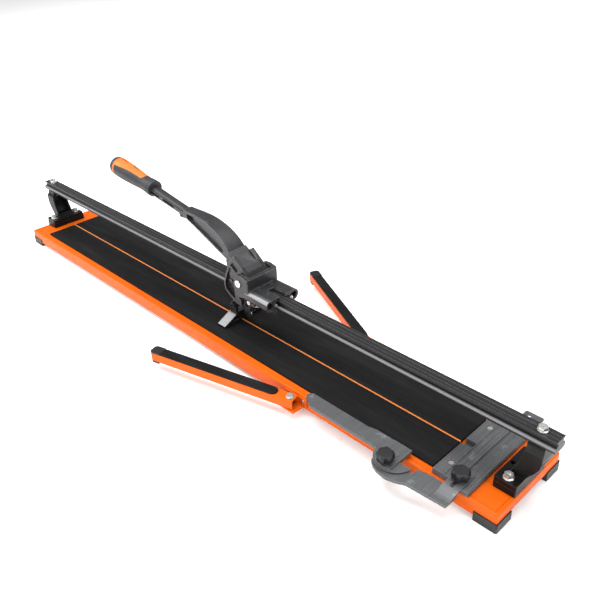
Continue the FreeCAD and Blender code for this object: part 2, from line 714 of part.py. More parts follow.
def make_scoring_wheel():
    """Hardened wheel with a sharp rim, turning on its axle."""
    bore = wheel_axle_radius + running_gap
    half = 1.6
    outline = [(bore, -half), (wheel_radius - 3, -half), (wheel_radius, 0), (wheel_radius - 3, half),
               (bore, half)]
    corners = [Vec(wheel_x + r, y, wheel_z) for r, y in outline]
    face = Part.Face(Part.makePolygon(corners + [corners[0]]))
    return face.revolve(Vec(wheel_x, 0, wheel_z), Vec(0, 1, 0), 360)


# ---- breaker foot -------------------------------------------------------------------------------
foot_start = 32.0
foot_end = 54.0
foot_low = 6.8
foot_half_length = 49.0
lug_inner = 12.2
lug_outer = 17.6


def make_breaker_foot():
    """Wide foot that presses the tile on both sides of the score, hung on two upright lugs."""
    tip = foot_half_length
    root = 19.0
    root_height = 24.0
    outline = [(-tip, foot_low), (-tip, foot_low + 3), (-root, root_height), (-8, 28), (8, 28),
               (root, root_height), (tip, foot_low + 3), (tip, foot_low), (tip - 9, foot_low),
               (0, foot_low + 3.2), (-tip + 9, foot_low)]
    foot = cross_prism(outline, foot_start, foot_end)
    slope = (root_height - foot_low - 3) / (tip - root)
    for side in (-1, 1):
        for index in range(4):
            near = 12.0 + 8.0 * index
            far = near + 6.0
            top = [root_height - slope * max(0.0, y - root) - 3.0 for y in (near, far)]
            pocket = [(side * near, foot_low + 5.0), (side * far, foot_low + 4.6),
                      (side * far, max(top[1], foot_low + 5.2)), (side * near, top[0])]
            foot = foot.cut(cross_prism(pocket, foot_end - 9, foot_end + 1))
    parts = [foot]
    lug_outline = [(33, 18), (53.5, 18), (55.2, 34), (55.4, 46), (41, 46), (39.5, 36)]
    for side in (-1, 1):
        low, high = sorted((side * lug_inner, side * lug_outer))
        parts.append(side_prism(lug_outline, low, high))
        parts.append(cylinder(7.6, (foot_pin_x, side * lug_inner, foot_pin_z), (0, side, 0),
                              lug_outer - lug_inner))
    foot = join(parts)
    return foot.cut(cylinder(foot_pin_radius + running_gap, (foot_pin_x, -60, foot_pin_z), (0, 1, 0), 120))


def make_foot_pins():
    """Shoulder screws in the lever's leg that carry the foot's lugs."""
    pins = []
    for side in (-1, 1):
        shank = cylinder(foot_pin_radius, (foot_pin_x, side * 3, foot_pin_z), (0, side, 0), lug_outer + 0.4 - 3)
        head = cylinder(5.6, (foot_pin_x, side * (lug_outer + 0.4), foot_pin_z), (0, side, 0), 3.0)
        socket = cylinder(2.4, (foot_pin_x, side * (lug_outer + 2), foot_pin_z), (0, side, 0), 4)
        pins.append(join([shank, head]).cut(socket))
    return Part.makeCompound(pins)


# ---- fence --------------------------------------------------------------------------------------
fence_screw_x = 597.0
fence_screw_y = 52.0
bar_start = 614.3
bar_end = 647.2
bar_rear = 133.0
bar_hole_x = 625.0
bar_hole_y = 123.5
bar_low = 2.3
bar_high = 5.7


def make_fence_block():
    """Fixed stop across the mats' end, notched where the score runs out, with a scale step behind."""
    block = box((fence_start, channel_start), (-fence_half_length, fence_half_length),
                (base_top, base_top + fence_height))
    block = block.cut(box((fence_start - 1, 602), (-7, 7), (base_top + 1.2, base_top + 20)))
    block = fillet_where(block, 0.7, lambda edge, middle: middle.z > base_top + fence_height - 0.1)
    block = block.cut(box((603, channel_start + 1), (-90, 90), (base_top + channel_height + 0.6, base_top + 20)))
    for side in (-1, 1):
        y = side * fence_screw_y
        block = block.cut(cylinder(2.5, (fence_screw_x, y, base_top - 1), (0, 0, 1), 20))
        block = block.cut(cylinder(5.2, (fence_screw_x, y, base_top + 6), (0, 0, 1), 10))
    return block


def make_fence_screws():
    screws = []
    for side in (-1, 1):
        y = side * fence_screw_y
        shank = cylinder(2.5, (fence_screw_x, y, base_top - 9), (0, 0, 1), 15)
        head = cylinder(4.4, (fence_screw_x, y, base_top + 6), (0, 0, 1), 2.6)
        cross = box((fence_screw_x - 2.2, fence_screw_x + 2.2), (y - 0.5, y + 0.5),
                    (base_top + 7.4, base_top + 9))
        screws.append(join([shank, head]).cut(cross))
    return Part.makeCompound(screws)


def make_ruler_channel():
    """Extrusion beside the fence block, with a slot along its top for the sliding bar's clamp."""
    half = base_half_width - 0.3
    top = base_top + channel_height
    channel = box((channel_start, channel_end), (-half, half), (base_top, top))
    cavity = box((channel_start + 2.4, channel_end - 2.4), (-half - 1, half + 1), (base_top + 2.0, base_top + 6.0))
    slot = box((slot_middle - 2.8, slot_middle + 2.8), (-half - 1, half + 1), (base_top + 5, top + 1))
    grooves = [box((x, x + width), (-half - 1, half + 1), (top - 0.7, top + 1))
               for x, width in ((617.0, 0.8), (643.2, 0.9), (646.2, 0.9))]
    ledge = box((channel_end - 1.2, channel_end + 1), (-half - 1, half + 1), (top - 2.5, top + 1))
    return cut_all(channel, [cavity, slot, ledge] + grooves)


def make_slide_bar():
    """Flat bar inside the channel, with a hole in the end that stands out at the back."""
    bar = box((bar_start, bar_end), (-86, bar_rear), (base_top + bar_low, base_top + bar_high))
    bar = fillet_where(bar, 3.0, lambda edge, middle: middle.y > bar_rear - 1
                       and abs(edge.Length - bar_high + bar_low) < 0.1)
    bar = bar.cut(cylinder(3.4, (bar_hole_x, bar_hole_y, base_top), (0, 0, 1), 12))
    return bar.cut(cylinder(stud_radius + running_gap, (slot_middle, fence_knob_y, base_top), (0, 0, 1), 12))


stud_radius = 2.4
plate_thickness_low = 0.3
plate_thickness_high = 5.4
tongue_low = 8.3
tongue_high = 10.6


def make_side_fence():
    """Plate in front of the base with a curved wing for the swivel arm and a joggled, slotted tongue."""
    outline = [(538, -104.5), (538, -84), (512, -84), (500, -98), (499.5, -117), (503, -127), (512, -134.5),
               (523, -139), (542, -141), (558, -136.2), (571.5, -129.8), (578, -129.5), (639, -125.4),
               (639, -100.6), (607, -90.5), (590, -91), (567.5, -95), (566.5, -107), (550, -106)]
    plate = plan_prism(outline, plate_thickness_low, plate_thickness_high)
    joggle = [(-125, plate_thickness_low), (-125, plate_thickness_high), (-117, plate_thickness_high),
              (-112, 5.9), (-106, 7.2), (-100, 9.2), (-95, 10.3), (-91, tongue_high), (-52, tongue_high),
              (-52, tongue_low), (-92, tongue_low), (-98, 4.6), (-102, plate_thickness_low)]
    tongue = cross_prism(joggle, 612.5, 639)
    fence = join([plate, tongue])
    slot = box((slot_middle - 3.4, slot_middle + 3.4), (-91, -62), (base_top + 4, base_top + 20))
    round_ends = [cylinder(3.4, (slot_middle, y, base_top + 4), (0, 0, 1), 14) for y in (-91, -62)]
    fence = cut_all(fence, [slot] + round_ends)
    fence = fence.cut(cylinder(3.0, (hub_x, hub_y, base_top - 2), (0, 0, 1), 12))
    stud = protractor_stud()
    return fence.cut(cylinder(stud_radius + running_gap, (stud[0], stud[1], base_top - 2), (0, 0, 1), 12))


def protractor_stud():
    angle = math.radians(protractor_stud_angle)
    return (hub_x + protractor_slot_radius * math.cos(angle),
            hub_y + protractor_slot_radius * math.sin(angle))


hub_low = 5.7
hub_high = 8.4
bar_top = 11.5


def make_swivel_arm():
    """Swinging rule with a round hub and a curved slot for the clamp stud."""
    outline = [(331, -77.5), (324, -86), (329, -95), (351, -106), (480, -106), (500, -108),
               (540, -108.7), (540, -73.6), (470, -74), (455, -77.5)]
    rule = plan_prism(outline, 6.0, bar_top)
    rule = fillet_where(rule, 1.0, lambda edge, middle: middle.z > base_top + bar_top - 0.1)
    disc = cylinder(hub_radius, (hub_x, hub_y, base_top + hub_low), (0, 0, 1), hub_high - hub_low)
    disc = disc.cut(box((540, 620), (-104.5, 0), (base_top, base_top + 20)))
    disc = disc.cut(box((440, 620), (-73.6, 0), (base_top, base_top + 20)))
    raised = cylinder(hub_radius - 2.5, (hub_x, hub_y, base_top + hub_low), (0, 0, 1), bar_top - hub_low)
    raised = raised.cut(box((540, 620), (-200, 0), (base_top, base_top + 20)))
    raised = raised.cut(box((440, 620), (-74, 0), (base_top, base_top + 20)))
    arm = join([disc, raised, rule])
    under = box((300, hub_x - hub_radius), (-120, -60), (base_top, base_top + 6.0))
    arm = arm.cut(under)
    arm = arm.cut(arc_slot())
    return arm.cut(cylinder(3.0 + running_gap, (hub_x, hub_y, base_top), (0, 0, 1), 30))


def arc_slot():
    """Curved slot about the hub, from the stud round to the side of the rule."""
    half = stud_radius + 0.6
    ring = washer((hub_x, hub_y, base_top), (0, 0, 1), protractor_slot_radius + half,
                  protractor_slot_radius - half, 30)
    reach = 60.0
    wedge = [(hub_x, hub_y)]
    steps = 6
    first = 173.0
    last = protractor_stud_angle
    for step in range(steps + 1):
        angle = math.radians(first + (last - first) * step / steps)
        wedge.append((hub_x + reach * math.cos(angle), hub_y + reach * math.sin(angle)))
    slot = ring.common(plan_prism(wedge, 0, 30))
    ends = []
    for angle in (first, last):
        x = hub_x + protractor_slot_radius * math.cos(math.radians(angle))
        y = hub_y + protractor_slot_radius * math.sin(math.radians(angle))
        ends.append(cylinder(half, (x, y, base_top), (0, 0, 1), 30))
    return join([slot] + ends)


def make_hub_rivet():
    """Flush rivet on which the swivel arm turns."""
    shank = cylinder(3.0, (hub_x, hub_y, base_top + 0.4), (0, 0, 1), bar_top - 0.4)
    head = cylinder(5.0, (hub_x, hub_y, base_top + bar_top + 0.2), (0, 0, 1), 0.5)
    neck = cylinder(3.0, (hub_x, hub_y, base_top + bar_top), (0, 0, 1), 0.4)
    return join([shank, neck, head])


def make_knob(x, y, seat, stud_low):
    """Six-lobed clamp knob with its threaded stud; seat is the height of the face it presses on."""
    low = seat + 4.0
    high = seat + 15.0
    body = cylinder(knob_radius, (x, y, base_top + low), (0, 0, 1), high - low)
    body = fillet_where(body, 3.6, lambda edge, middle: middle.z > base_top + high - 0.1)
    for lobe in range(6):
        angle = math.radians(60 * lobe + 20)
        reach = knob_radius + 3.1
        centre = (x + reach * math.cos(angle), y + reach * math.sin(angle), base_top + low - 1)
        body = body.cut(cylinder(6.2, centre, (0, 0, 1), high - low + 2))
    collar = cylinder(6.5, (x, y, base_top + seat + 0.3), (0, 0, 1), low - seat)
    stud = cylinder(stud_radius, (x, y, base_top + stud_low), (0, 0, 1), seat + 1 - stud_low)
    return join([body, collar, stud])


# ---- support arms -------------------------------------------------------------------------------
arm_bottom = arm_top - arm_depth
tube_wall = 1.8
tube_back = 9.5
cap_length = 24.0
pad_start = 26.0
cap_wall = 4.5


def local_arm_tube():
    """Square-section arm along +X from its pivot at the local origin, open at both ends."""
    half = arm_width / 2
    outer = box((-tube_back, arm_length - cap_wall), (-half, half), (arm_bottom, arm_top))
    outer = fillet_where(outer, 1.6, lambda edge, middle: abs(abs(middle.y) - half) < 0.1
                         and edge.Length > 100)
    inner = box((-tube_back - 1, arm_length), (-half + tube_wall, half - tube_wall),
                (arm_bottom + tube_wall, arm_top - tube_wall))
    tube = outer.cut(inner)
    return tube.cut(cylinder(arm_bolt_radius + running_gap, (0, 0, 0), (0, 0, 1), 100))


def local_arm_pad():
    """Rubber strip along the top of the arm, with a round end near the pivot."""
    half = arm_width / 2 - 0.8
    strip = box((pad_start + half, arm_length - cap_length), (-half, half), (arm_top, arm_top + pad_thickness))
    nose = cylinder(half, (pad_start + half, 0, arm_top), (0, 0, 1), pad_thickness)
    pad = join([strip, nose])
    return fillet_where(pad, 0.8, lambda edge, middle: middle.z > arm_top + pad_thickness - 0.1
                        and middle.x < arm_length - cap_length - 1)


def local_arm_cap():
    """Plastic end of the arm: a top strip level with the pad, an end wall, a plug and a lip below."""
    half = arm_width / 2
    body = box((arm_length - cap_length, arm_length), (-half, half), (arm_bottom - 3.5, arm_top + pad_thickness))
    body = fillet_where(body, 7.0, lambda edge, middle: middle.x > arm_length - 1
                        and abs(abs(middle.y) - half) < 0.1)
    body = body.cut(box((0, arm_length - cap_wall), (-half - 1, half + 1), (arm_bottom, arm_top)))
    body = body.cut(box((0, arm_length - 20), (-half - 1, half + 1), (0, arm_bottom)))
    plug = box((arm_length - 18, arm_length - cap_wall + 1), (-half + tube_wall, half - tube_wall),
               (arm_bottom + tube_wall, arm_top - tube_wall))
    return join([body, plug])


def place_arm(shape, side):
    """Puts a local arm shape at its pivot; side is -1 at the front and 1 at the back."""
    swing = front_arm_angle if side < 0 else rear_arm_angle
    shape = shape.copy()
    shape.rotate(Vec(0, 0, 0), Vec(0, 0, 1), 180 - side * swing)
    shape.translate(Vec(arm_pivot_x, side * arm_pivot_y, 0))
    return shape


def make_arm_bracket(side):
    """Angle bracket that carries the arm's pivot beside the base."""
    plate = 3.0
    under = arm_bottom - 0.3
    inner = base_half_width
    low, high = sorted((side * inner, side * (inner + plate)))
    upright = box((270, 324), (low, high), (under - plate, base_top - 3))
    low, high = sorted((side * inner, side * (arm_pivot_y + 12)))
    shelf = box((276, 318), (low, high), (under - plate, under))
    bracket = join([upright, shelf])
    bracket = bracket.cut(cylinder(arm_bolt_radius, (arm_pivot_x, side * arm_pivot_y, 0), (0, 0, 1), 30))
    for x in bracket_bolt_x:
        bracket = bracket.cut(cylinder(3.0, (x, side * (inner - 5), bracket_bolt_z), (0, side, 0), 20))
    return bracket


def make_bracket_bolts():
    """Screws that hold both brackets to the side flanges."""
    screws = []
    for side in (-1, 1):
        for x in bracket_bolt_x:
            shank = cylinder(3.0, (x, side * (base_half_width - 8), bracket_bolt_z), (0, side, 0), 11)
            head = cylinder(4.6, (x, side * (base_half_width + 3), bracket_bolt_z), (0, side, 0), 2.2)
            screws.append(join([shank, head]))
    return Part.makeCompound(screws)


def make_arm_bolts():
    """Pivot bolts of both arms, with a round washer face under the hex head and a nut below."""
    bolts = []
    for side in (-1, 1):
        centre = (arm_pivot_x, side * arm_pivot_y)
        under = arm_bottom - 3.3
        shank = cylinder(arm_bolt_radius, (*centre, under - 8), (0, 0, 1), arm_top + 0.3 - under + 8)
        ring = cylinder(7.5, (*centre, arm_top + 0.3), (0, 0, 1), 1.2)
        head = hexagon((*centre, arm_top + 1.5), (0, 0, 1), 11.0, 3.4)
        nut = hexagon((*centre, under - 6.5), (0, 0, 1), 13.0, 6.5)
        bolts.append(join([shank, ring, head, nut]))
    return Part.makeCompound(bolts)


# ---- all nodes ----------------------------------------------------------------------------------
def build():
    nodes = {}
    nodes["base_plate"] = make_base_plate()
    nodes["base_stiffener"] = make_base_stiffener()
    nodes["centre_foot"] = make_centre_foot()
    nodes["corner_feet"] = make_corner_feet()
    nodes["front_mat"] = make_mat(-1)
    nodes["rear_mat"] = make_mat(1)
    nodes["breaking_rib"] = make_breaking_rib()
    nodes["rail"] = make_rail()
    near_stand, far_stand = both_ends(make_near_stand())
    nodes["near_stand"] = near_stand
    nodes["far_stand"] = far_stand
    nodes["stand_spacers"] = make_spacers()
    nodes["stand_bolts"] = make_stand_bolts()
    nodes["stand_washers"] = make_stand_washers()
    nodes["stand_nuts"] = make_stand_nuts()
    nodes["rail_bolts"] = make_rail_bolts()

    nodes["carriage_body"] = make_carriage_body()
    nodes["roller_pins"] = make_roller_pins()
    for x, place in zip(roller_x, ("far", "near")):
        for side, face in ((-1, "front"), (1, "rear")):
            nodes[f"{face}_{place}_roller"] = make_roller(x, side)
    nodes["side_screws"] = make_side_screws()
    nodes["adjusting_screws"] = make_adjusting_screws()
    nodes["pivot_bolt"] = make_pivot_bolt()
    nodes["pivot_nut"] = make_pivot_nut()
    nodes["pivot_washers"] = make_pivot_washers()

    lever = make_lever()
    grip_inlay = make_grip_inlay()
    nodes["lever"] = lever
    nodes["grip_inlay"] = grip_inlay
    nodes["grip"] = make_grip(grip_inlay, lever)
    nodes["wheel_holder"] = make_wheel_holder()
    nodes["holder_screws"] = make_holder_screws()
    nodes["wheel_axle"] = make_wheel_axle()
    nodes["scoring_wheel"] = make_scoring_wheel()
    nodes["breaker_foot"] = make_breaker_foot()
    nodes["foot_pins"] = make_foot_pins()

    nodes["fence_block"] = make_fence_block()
    nodes["fence_screws"] = make_fence_screws()
    nodes["ruler_channel"] = make_ruler_channel()
    nodes["slide_bar"] = make_slide_bar()
    nodes["side_fence"] = make_side_fence()
    nodes["swivel_arm"] = make_swivel_arm()
    nodes["hub_rivet"] = make_hub_rivet()
    nodes["fence_knob"] = make_knob(slot_middle, fence_knob_y, tongue_high, bar_low)
    stud = protractor_stud()
    nodes["protractor_knob"] = make_knob(stud[0], stud[1], bar_top, plate_thickness_low)

    for side, face in ((-1, "front"), (1, "rear")):
        nodes[f"{face}_arm_tube"] = place_arm(local_arm_tube(), side)
        nodes[f"{face}_arm_pad"] = place_arm(local_arm_pad(), side)
        nodes[f"{face}_arm_cap"] = place_arm(local_arm_cap(), side)
        nodes[f"{face}_arm_bracket"] = make_arm_bracket(side)
    nodes["arm_bolts"] = make_arm_bolts()
    nodes["bracket_bolts"] = make_bracket_bolts()
    return nodes


os.makedirs("parts", exist_ok=True)
for name, shape in build().items():
    shape.exportStep(f"parts/{name}.step")
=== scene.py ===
import json
import math

import bpy
from mathutils import Matrix, Vector


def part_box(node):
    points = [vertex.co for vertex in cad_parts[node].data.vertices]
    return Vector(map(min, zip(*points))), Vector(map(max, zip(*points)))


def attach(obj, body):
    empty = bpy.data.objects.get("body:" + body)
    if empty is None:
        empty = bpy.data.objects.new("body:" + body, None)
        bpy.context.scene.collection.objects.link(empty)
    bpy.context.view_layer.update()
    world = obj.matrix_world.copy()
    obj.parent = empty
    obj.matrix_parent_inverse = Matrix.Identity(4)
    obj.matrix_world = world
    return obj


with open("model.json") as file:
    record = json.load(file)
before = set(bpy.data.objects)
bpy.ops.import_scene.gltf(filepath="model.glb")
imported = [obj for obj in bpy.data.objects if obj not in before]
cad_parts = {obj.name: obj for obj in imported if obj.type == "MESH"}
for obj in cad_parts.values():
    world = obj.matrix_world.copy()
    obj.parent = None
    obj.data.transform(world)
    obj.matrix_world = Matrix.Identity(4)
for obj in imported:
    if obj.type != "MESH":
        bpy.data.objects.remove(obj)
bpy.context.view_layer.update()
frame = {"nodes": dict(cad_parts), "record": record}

# ---- places taken from the frame ----------------------------------------------------------------
BASE_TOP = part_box("base_plate")[1][2]
CHANNEL_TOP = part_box("ruler_channel")[1][2]


# ---- shader helpers -----------------------------------------------------------------------------
class Shader:
    """Builds one node material around a Principled shader, with textures in object space."""

    def __init__(self, name, **sockets):
        self.material = bpy.data.materials.new(name)
        self.material.use_nodes = True
        self.tree = self.material.node_tree
        self.principled = self.tree.nodes["Principled BSDF"]
        for socket, value in sockets.items():
            self.principled.inputs[socket.replace("_", " ")].default_value = value
        self.place = self.tree.nodes.new("ShaderNodeTexCoord").outputs["Object"]

    def link(self, source, target):
        self.tree.links.new(source, target)

    def stretched(self, x, y, z):
        mapping = self.tree.nodes.new("ShaderNodeMapping")
        mapping.inputs["Scale"].default_value = (x, y, z)
        self.link(self.place, mapping.inputs["Vector"])
        return mapping.outputs["Vector"]

    def noise(self, scale, detail=4.0, roughness=0.6, vector=None):
        node = self.tree.nodes.new("ShaderNodeTexNoise")
        node.inputs["Scale"].default_value = scale
        node.inputs["Detail"].default_value = detail
        node.inputs["Roughness"].default_value = roughness
        self.link(vector or self.place, node.inputs["Vector"])
        return node.outputs["Fac"]

    def cells(self, scale, vector=None):
        node = self.tree.nodes.new("ShaderNodeTexVoronoi")
        node.inputs["Scale"].default_value = scale
        self.link(vector or self.place, node.inputs["Vector"])
        return node.outputs["Distance"]

    def steps(self, value, low, high, to_low=0.0, to_high=1.0):
        node = self.tree.nodes.new("ShaderNodeMapRange")
        for name, number in (("From Min", low), ("From Max", high), ("To Min", to_low), ("To Max", to_high)):
            node.inputs[name].default_value = number
        self.link(value, node.inputs["Value"])
        return node.outputs["Result"]

    def math(self, operation, first, second):
        node = self.tree.nodes.new("ShaderNodeMath")
        node.operation = operation
        for index, part in enumerate((first, second)):
            if isinstance(part, (int, float)):
                node.inputs[index].default_value = part
            else:
                self.link(part, node.inputs[index])
        return node.outputs[0]

    def mix(self, factor, first, second):
        node = self.tree.nodes.new("ShaderNodeMix")
        node.data_type = "RGBA"
        self.link(factor, node.inputs["Factor"])
        for name, part in (("A", first), ("B", second)):
            socket = [s for s in node.inputs if s.name == name and s.type == "RGBA"][0]
            if isinstance(part, tuple):
                socket.default_value = (*part, 1.0)
            else:
                self.link(part, socket)
        return [s for s in node.outputs if s.type == "RGBA"][0]

    def edges(self, radius):
        """Mask that rises from 0 on flats to 1 on convex and concave edges."""
        bevel = self.tree.nodes.new("ShaderNodeBevel")
        bevel.samples = 4
        bevel.inputs["Radius"].default_value = radius
        normal = self.tree.nodes.new("ShaderNodeNewGeometry").outputs["Normal"]
        dot = self.tree.nodes.new("ShaderNodeVectorMath")
        dot.operation = "DOT_PRODUCT"
        self.link(bevel.outputs["Normal"], dot.inputs[0])
        self.link(normal, dot.inputs[1])
        return self.steps(dot.outputs["Value"], 0.995, 0.88)

    def painted_highlight_band(self, low, high, flattest, steepest):
        """Mask of faces between two heights whose upward tilt lies between two limits; it marks where a
        highlight is painted.
        """
        tilt = self.tree.nodes.new("ShaderNodeSeparateXYZ")
        self.link(self.tree.nodes.new("ShaderNodeTexCoord").outputs["Normal"], tilt.inputs[0])
        place = self.tree.nodes.new("ShaderNodeSeparateXYZ")
        self.link(self.place, place.inputs[0])
        soft = 0.0005
        above = self.steps(place.outputs["Z"], low - soft, low + soft)
        below = self.steps(place.outputs["Z"], high + soft, high - soft)
        steep = self.steps(tilt.outputs["Z"], steepest - 0.08, steepest + 0.08)
        flat = self.steps(tilt.outputs["Z"], flattest + 0.04, flattest - 0.04)
        return self.math("MULTIPLY", self.math("MULTIPLY", above, below), self.math("MULTIPLY", steep, flat))

    def colour(self, socket):
        self.link(socket, self.principled.inputs["Base Color"])

    def rough(self, value, low, high):
        self.link(self.steps(value, 0.3, 0.7, low, high), self.principled.inputs["Roughness"])

    def bump(self, height, strength, distance):
        node = self.tree.nodes.new("ShaderNodeBump")
        node.inputs["Strength"].default_value = strength
        node.inputs["Distance"].default_value = distance
        self.link(height, node.inputs["Height"])
        self.link(node.outputs["Normal"], self.principled.inputs["Normal"])


def shade(colour, factor):
    return tuple(min(1.0, part * factor) for part in colour)


def powder_coat(name, colour):
    """Satin powder coat: orange-peel bump, faint tone drift, dust and rubbed edges."""
    s = Shader(name, Specular_IOR_Level=0.12, Coat_Weight=0.04, Coat_Roughness=0.22)
    drift = s.mix(s.steps(s.noise(7.0), 0.35, 0.65), shade(colour, 0.94), shade(colour, 1.04))
    grime = s.steps(s.noise(38.0, detail=9.0, roughness=0.75), 0.60, 0.74)
    dusty = s.mix(s.math("MULTIPLY", grime, 0.10), drift, (0.55, 0.30, 0.14))
    rubbed = s.math("MULTIPLY", s.edges(0.0010), s.steps(s.noise(90.0), 0.45, 0.70))
    s.colour(s.mix(s.math("MULTIPLY", rubbed, 0.45), dusty, shade(colour, 1.5)))
    s.rough(s.noise(60.0), 0.34, 0.48)
    s.bump(s.noise(900.0, detail=2.0), 0.12, 0.0004)
    return s.material


def mat_rubber(name, colour, dust):
    """Moulded rubber: pebbled grain, dusty streaks along the length, worn patches."""
    s = Shader(name, Specular_IOR_Level=0.07)
    streaks = s.noise(14.0, vector=s.stretched(0.35, 4.0, 1.0))
    specks = s.steps(s.noise(650.0, detail=2.0), 0.64, 0.74)
    worn = s.mix(s.steps(streaks, 0.42, 0.72), colour, dust)
    s.colour(s.mix(s.math("MULTIPLY", specks, 0.5), worn, shade(dust, 2.2)))
    s.rough(s.noise(30.0), 0.52, 0.70)
    s.bump(s.cells(1100.0), 0.35, 0.0004)
    return s.material


def moulded_plastic(name, colour, roughness=0.42):
    """Moulded plastic with a spark-eroded grain and paler, handled edges."""
    s = Shader(name, Specular_IOR_Level=0.35)
    body = s.mix(s.steps(s.noise(35.0), 0.35, 0.65), shade(colour, 0.8), shade(colour, 1.3))
    s.colour(s.mix(s.math("MULTIPLY", s.edges(0.0008), 0.5), body, shade(colour, 3.0)))
    s.rough(s.noise(90.0), roughness - 0.08, roughness + 0.08)
    s.bump(s.noise(1500.0, detail=2.0), 0.25, 0.0003)
    return s.material


def casting(name, colour, bright, specular, band=None):
    """Painted die casting: sandy skin, uneven gloss, paint rubbed thin along the edges, and a painted
    highlight on the faces of an optional band.
    """
    s = Shader(name, Metallic=0.10, Specular_IOR_Level=specular)
    body = s.mix(s.steps(s.noise(28.0), 0.35, 0.65), shade(colour, 0.82), shade(colour, 1.22))
    rubbed = s.math("MULTIPLY", s.edges(0.0010), s.steps(s.noise(160.0), 0.30, 0.58))
    worn = s.mix(s.math("MULTIPLY", rubbed, 0.8), body, bright)
    # Painted highlight: faces inside the band are mixed towards the bright colour.
    if band:
        worn = s.mix(s.math("MULTIPLY", s.painted_highlight_band(*band), 0.8), worn, bright)
    s.colour(worn)
    s.rough(s.noise(120.0), 0.30, 0.42)
    s.bump(s.noise(1300.0, detail=3.0), 0.30, 0.0004)
    return s.material


def machined_casting(name, colour, bright, low, high):
    """Casting whose upward faces inside a height band are machined bright, with cutter lines."""
    s = Shader(name, Metallic=0.55, Specular_IOR_Level=0.5)
    body = s.mix(s.steps(s.noise(28.0), 0.35, 0.65), shade(colour, 0.82), shade(colour, 1.22))
    split = s.tree.nodes.new("ShaderNodeSeparateXYZ")
    s.link(s.tree.nodes.new("ShaderNodeTexCoord").outputs["Normal"], split.inputs[0])
    upward = s.steps(split.outputs["Z"], 0.55, 0.70)
    place = s.tree.nodes.new("ShaderNodeSeparateXYZ")
    s.link(s.place, place.inputs[0])
    below = s.steps(place.outputs["Z"], high, low)
    grain = s.noise(420.0, vector=s.stretched(0.08, 1.0, 1.0))
    cut = s.mix(s.steps(grain, 0.35, 0.65), shade(bright, 0.85), shade(bright, 1.1))
    s.colour(s.mix(s.math("MULTIPLY", upward, below), body, cut))
    s.rough(grain, 0.26, 0.42)
    s.bump(s.noise(1300.0, detail=3.0), 0.2, 0.0003)
    return s.material


def anodised(name, colour, bright, band):
    """Extruded and anodised aluminium: die lines along X, brighter arrises and a painted highlight on the
    faces of the given band.
    """
    s = Shader(name, Metallic=0.12, Specular_IOR_Level=0.25)
    lines = s.noise(260.0, vector=s.stretched(0.02, 1.0, 1.0))
    scuffs = s.steps(s.noise(48.0, detail=8.0, roughness=0.7), 0.62, 0.74)
    body = s.mix(s.steps(lines, 0.35, 0.65), shade(colour, 0.85), shade(colour, 1.3))
    scuffed = s.mix(s.math("MULTIPLY", scuffs, 0.15), body, bright)
    edged = s.mix(s.math("MULTIPLY", s.edges(0.0006), 0.5), scuffed, bright)
    # Painted highlight: faces inside the band are mixed towards the bright colour, over the die lines and
    # arrises.
    s.colour(s.mix(s.math("MULTIPLY", s.painted_highlight_band(*band), 0.7), edged, bright))
    s.rough(lines, 0.30, 0.44)
    s.bump(lines, 0.10, 0.0002)
    return s.material


def milled_aluminium(name, colour, bright):
    """Grey aluminium plate: short milling grain across Y, scuffs, bright arrises."""
    s = Shader(name, Metallic=0.45, Specular_IOR_Level=0.45)
    grain = s.noise(420.0, vector=s.stretched(1.0, 0.05, 1.0))
    scuffs = s.steps(s.noise(55.0, detail=8.0), 0.60, 0.72)
    body = s.mix(s.steps(grain, 0.3, 0.7), shade(colour, 0.88), shade(colour, 1.15))
    scuffed = s.mix(s.math("MULTIPLY", scuffs, 0.30), body, bright)
    s.colour(s.mix(s.math("MULTIPLY", s.edges(0.0006), 0.6), scuffed, bright))
    s.rough(grain, 0.36, 0.52)
    s.bump(grain, 0.12, 0.0002)
    return s.material


def zinc_plate(name, colour, cloud=(0.80, 0.78, 0.72)):
    """Plated steel with cloudy passivation and fine turning marks."""
    s = Shader(name, Metallic=1.0)
    clouds = s.steps(s.noise(180.0), 0.35, 0.65)
    s.colour(s.mix(clouds, shade(colour, 0.88), cloud))
    s.rough(s.noise(700.0), 0.22, 0.40)
    s.bump(s.noise(2200.0, detail=2.0), 0.15, 0.0002)
    return s.material


def grip_rubber(name, colour):
    """Soft-touch grip: fine pebble and slightly polished high spots."""
    s = Shader(name, Specular_IOR_Level=0.35, Sheen_Weight=0.05)
    s.colour(s.mix(s.steps(s.noise(45.0), 0.35, 0.65), shade(colour, 0.88), shade(colour, 1.12)))
    s.rough(s.noise(140.0), 0.40, 0.56)
    s.bump(s.cells(900.0), 0.30, 0.0003)
    return s.material


def print_ink(name, colour):
    """Screen-printed scale marks, slightly broken by wear."""
    s = Shader(name, Specular_IOR_Level=0.3)
    worn = s.steps(s.noise(700.0), 0.55, 0.75)
    s.colour(s.mix(s.math("MULTIPLY", worn, 0.5), colour, (0.20, 0.20, 0.20)))
    s.rough(s.noise(200.0), 0.45, 0.60)
    return s.material


# Bands of faces painted bright as highlights: lowest and highest place, flattest and steepest upward tilt.
BEAD_HIGHLIGHT_BAND = (BASE_TOP + 0.0885, BASE_TOP + 0.0940, 0.95, 0.20)
TUBE_HIGHLIGHT_BAND = (BASE_TOP + 0.1045, BASE_TOP + 0.1108, 0.90, 0.50)
ORANGE = (0.66, 0.100, 0.0010)
CAST = (0.020, 0.0205, 0.022)
CAST_BRIGHT = (0.34, 0.34, 0.35)
MACHINED = (0.25, 0.25, 0.26)
